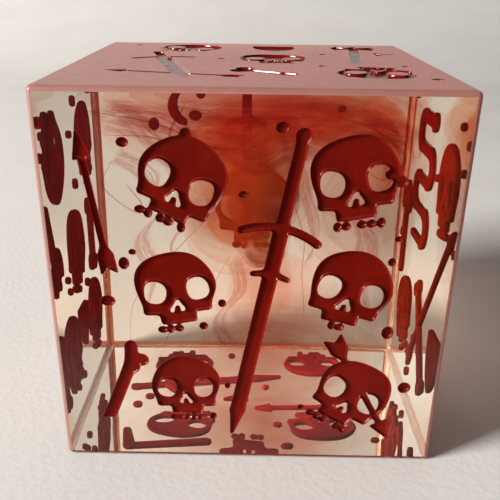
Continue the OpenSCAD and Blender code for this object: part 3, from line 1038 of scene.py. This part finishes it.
def along_path(path, count):
    """Points of a smooth curve through the path's points."""
    path = np.array(path, float)
    padded = np.vstack([2 * path[0] - path[1], path, 2 * path[-1] - path[-2]])
    out = []
    for t in np.linspace(0, len(path) - 1.0001, count):
        i, u = int(t), t - int(t)
        p = padded[i:i + 4]
        out.append(0.5 * (2 * p[1] + (p[2] - p[0]) * u + (2 * p[0] - 5 * p[1] + 4 * p[2] - p[3]) * u * u
                          + (3 * p[1] - p[0] - 3 * p[2] + p[3]) * u ** 3))
    return np.array(out)


def veil(path, fall, seed, count=60, rows=26):
    """An open film: each point of the path is drawn out along fall, which wanders."""
    top = along_path(path, count)
    flat = np.array([top + np.array(fall, float) * v for v in np.linspace(0, 1, rows)]).reshape(-1, 3)
    flat = flat + waves(flat, seed, 9.0) * 0.8 + waves(flat, seed + 7, 3.5) * 0.22
    faces = [(i * count + j, i * count + j + 1, (i + 1) * count + j + 1, (i + 1) * count + j)
             for i in range(rows - 1) for j in range(count - 1)]
    places = [(u, v) for v in np.linspace(0, 1, rows) for u in np.linspace(0, 1, count)]
    return flat, faces, places


def thread(path, r_first, r_last, seed, count=70, sides=8):
    middle = along_path(path, count)
    middle = middle + waves(middle, seed, 6.0) * 0.35
    run = np.gradient(middle, axis=0)
    run /= np.linalg.norm(run, axis=1, keepdims=True)
    one = np.cross(run, [0.3, 0.2, 0.93])
    one /= np.linalg.norm(one, axis=1, keepdims=True)
    two = np.cross(run, one)
    points = []
    for k, t in enumerate(np.linspace(0, 1, count)):
        r = (r_first + (r_last - r_first) * t) * math.sin(math.pi * min(max(t, 0.02), 0.98)) ** 0.4
        for j in range(sides):
            angle = 2 * math.pi * j / sides
            points.append(middle[k] + r * (math.cos(angle) * one[k] + math.sin(angle) * two[k]))
    faces = [(k * sides + j, k * sides + (j + 1) % sides,
              (k + 1) * sides + (j + 1) % sides, (k + 1) * sides + j)
             for k in range(count - 1) for j in range(sides)]
    faces += [tuple(range(sides))[::-1], tuple(range((count - 1) * sides, count * sides))]
    return points, faces


# %% Veils: node, path, which way the film is drawn out
VEILS = [
    ("dye_veil_left", [(-21, 0, 47.5), (-14, 1, 46), (-6, -1, 44.5), (1, 0, 42)], (1, 9, -4)),
    (None, [(-20, -10, 46), (-14, -9, 45), (-8, -6, 42), (-3, -3, 36)], (-1, 8, -3)),
    (None, [(-21, -4, 45), (-15, -12, 45.5), (-8, -14, 43), (-1, -9, 41)], (0, 8, -6)),
    (None, [(-20, -2, 38), (-16, -10, 38.5), (-12, -12, 36), (-13, -13, 32)], (1, 7, 2)),
    (None, [(10, -13, 46.5), (16, -14, 45), (21, -12, 43.5), (22, -9, 39)], (-1, 8, -4)),
    (None, [(-20, -6, 43), (-15, -8, 41), (-11, -9, 38), (-6, -7, 37), (-2, -4, 40)], (1, 9, 2)),
    (None, [(-18, -12, 47.5), (-9, -13, 46.5), (0, -11, 46), (8, -12, 47.5)], (0, 10, -5)),
    ("dye_veil_right", [(4, 2, 45), (11, -2, 46.5), (18, -3, 45), (21, -2, 40), (20, 0, 33)], (-1, 9, -3)),
    (None, [(8, -8, 38), (12, -10, 42), (17, -10, 42.5), (19.5, -9, 38), (17, -8, 34)], (0.5, 7, 2)),
    (None, [(5, -5, 37), (7, -8, 33), (9, -9, 28), (8, -8, 23)], (2, 9, 1)),
    ("dye_veil_back", [(-14, 12, 47), (-5, 15, 44), (4, 14, 45.5), (14, 16, 47)], (1, -2, -11)),
    ("dye_veil_front", [(-6, -16, 47), (-1, -18, 44.5), (5, -16, 46), (13, -17, 47.4)], (0.5, 4, -6)),
    ("dye_wisp_left", [(-15, 4, 30), (-18, 0, 25), (-16, -3, 20), (-18, -4, 13)], (2, 7, 1)),
    ("dye_wisp_right", [(15, 3, 30), (18, -1, 25), (16.5, -4, 19), (18.5, -5, 12)], (-2, 7, 0)),
    (None, [(-9, -4, 30), (-12, -7, 25), (-11, -8, 19), (-15, -8, 12)], (1, 8, 1)),
    (None, [(-4, 0, 24), (-2, -4, 18), (-6, -5, 13), (-4, -5, 8)], (3, 6, 0)),
]
for index, (node, path, fall) in enumerate(VEILS):
    points, faces, places = veil(path, fall, index + 3)
    drawn = dye_object(f"dye_film_{index + 1}", points, faces, VEIL_DYE, node)
    layer = drawn.data.uv_layers.new(name="along_film")
    for loop in drawn.data.loops:
        layer.data[loop.index].uv = places[loop.vertex_index]

# %% Threads: path, first radius, last radius
THREADS = [
    ([(-20, -15, 46), (-12, -13, 44), (-3, -8, 40), (2, -4, 43)], 0.07, 0.14),
    ([(-19, -12, 43), (-12, -12, 42.5), (-6, -9, 39), (-2, -3, 36)], 0.06, 0.12),
    ([(-8, -15, 47), (-10, -15, 43.5), (-9, -13, 41), (-5, -9, 38)], 0.12, 0.4),
    ([(-17, -16, 40), (-18, -17, 37), (-15, -16, 33.5), (-14, -15, 34.5), (-15.5, -15, 37)], 0.06, 0.1),
    ([(13, -12, 44), (17, -10, 42), (19, -7, 38), (17, -6, 34)], 0.09, 0.07),
    ([(9, -9, 45), (15, -13, 43.5), (19.5, -12, 40), (17, -10, 37.5), (14, -9, 39)], 0.08, 0.08),
    ([(5, -8, 36), (7, -12, 30), (6.5, -12, 24), (7.5, -11, 17)], 0.08, 0.04),
    ([(-6, -10, 31), (-11, -13, 26), (-16, -13, 20), (-17, -12, 12)], 0.07, 0.04),
    ([(-3, -5, 25), (-7, -8, 19), (-12, -9, 14), (-14, -8, 6)], 0.06, 0.04),
]
for index, (path, r_first, r_last) in enumerate(THREADS):
    points, faces = thread(path, r_first, r_last, index + 11)
    dye_object(f"dye_thread_{index + 1}", points, faces, THREAD_DYE)
print(len(VEILS), "veils and", len(THREADS), "threads")

# %% [markdown]
# ## Table, room and light
# The die stands on a sheet of matt white paper that curves up behind it. From just in front of it
# the paper's colour is painted near black, as painted shade, so that the front face mirrors dark.
# A tall window to the left, a little in front, throws a long soft shadow to the right. A pale wall in
# front gives a weak low fill, and a soft spot stands for the light that the block throws on the paper
# behind it. The rest of the room is dim.

# %% Paper
PAPER_GAP = 0.0001
# Where the painted shade on the paper in front begins, and where the paper is pale again
PAINTED_SHADE_FROM, PALE_FROM = -0.072, -0.04
rows = [(-1.2, -PAPER_GAP), (0.3, -PAPER_GAP)]
for k in range(1, 25):
    angle = k / 24 * math.pi / 2
    rows.append((0.3 + 0.5 * math.sin(angle), 0.5 * (1 - math.cos(angle)) - PAPER_GAP))
rows.append((0.8, 0.85))
points = [(x, y, z) for y, z in rows for x in (-0.75, 0.75)]
faces = [(2 * k, 2 * k + 1, 2 * k + 3, 2 * k + 2) for k in range(len(rows) - 1)]
paper = new_object("paper_sweep", points, faces, True)
sheet = Shader("matt_white_paper")
fibre = sheet.noise(900, 6)
mottle = sheet.noise(25, 3)
paper_tone = sheet.mix(sheet.band(mottle, 0.3, 0.75), (0.80, 0.78, 0.755, 1), (0.76, 0.735, 0.71, 1))
paper_tone = sheet.mix(sheet.band(fibre, 0.55, 0.85) * 0.25, paper_tone, (0.62, 0.59, 0.57, 1))
paper_relief = sheet.node("Bump", {}, {"Height": fibre, "Strength": 0.16, "Distance": 0.0003})
# Painted shade: the paper's colour goes to near black from just in front of the die
clear_of_painted_shade = sheet.band(sheet.coordinate(1), PAINTED_SHADE_FROM, PALE_FROM)
paper_tone = sheet.mix(clear_of_painted_shade, (0.06, 0.055, 0.05, 1), paper_tone)
sheet_face = sheet.node("BsdfPrincipled", {}, {"Base Color": paper_tone, "Roughness": 0.85,
                                               "Normal": paper_relief})
paper.data.materials.append(sheet.finish(sheet_face))

# %% Window, pale wall, light behind and room
KEY_AWAY = 1.2
KEY_TURN = math.radians(204)
KEY_RISE = math.radians(20)
key_data = bpy.data.lights.new("window", "AREA")
key_data.shape = "RECTANGLE"
key_data.size = 0.38
key_data.size_y = 0.5
key_data.energy = 32
key_data.color = (1.0, 0.97, 0.93)
key = bpy.data.objects.new("window", key_data)
key_from = Vector((math.cos(KEY_TURN) * math.cos(KEY_RISE), math.sin(KEY_TURN) * math.cos(KEY_RISE),
                   math.sin(KEY_RISE)))
key.visible_transmission = False
key.location = key_from * KEY_AWAY + Vector((0, 0, HALF))
key.rotation_euler = key_from.to_track_quat("Z", "Y").to_euler()
bpy.context.scene.collection.objects.link(key)
fill_data = bpy.data.lights.new("pale_wall_in_front", "AREA")
fill_data.shape = "RECTANGLE"
fill_data.size = 0.7
fill_data.size_y = 0.18
fill_data.energy = 4.5
fill = bpy.data.objects.new("pale_wall_in_front", fill_data)
fill.visible_transmission = False
fill.location = (-0.1, -1.3, 0.11)
fill.rotation_euler = (math.pi / 2, 0, 0)
bpy.context.scene.collection.objects.link(fill)
glow_data = bpy.data.lights.new("light_thrown_behind", "SPOT")
glow_data.energy = 0.5
glow_data.spot_size = math.radians(30)
glow_data.spot_blend = 1.0
glow_data.shadow_soft_size = 0.02
glow_data.color = (1.0, 0.86, 0.76)
glow = bpy.data.objects.new("light_thrown_behind", glow_data)
glow.visible_transmission = False
glow_from = Vector((0.0, 0.13, 0.14))
glow.location = glow_from
glow.rotation_euler = (glow_from - Vector((0.006, 0.032, 0))).to_track_quat("Z", "Y").to_euler()
bpy.context.scene.collection.objects.link(glow)

world = bpy.data.worlds.new("room")
world.use_nodes = True
bpy.context.scene.world = world
world.node_tree.nodes["Background"].inputs["Color"].default_value = (0.93, 0.92, 0.9, 1)
world.node_tree.nodes["Background"].inputs["Strength"].default_value = 0.035

# %% Light paths and view
scene = bpy.context.scene
scene.view_settings.view_transform = "Standard"
scene.cycles.max_bounces = 140
scene.cycles.transmission_bounces = 140
scene.cycles.glossy_bounces = 12
scene.cycles.diffuse_bounces = 4
scene.cycles.transparent_max_bounces = 96
scene.cycles.caustics_refractive = True
scene.cycles.caustics_reflective = False
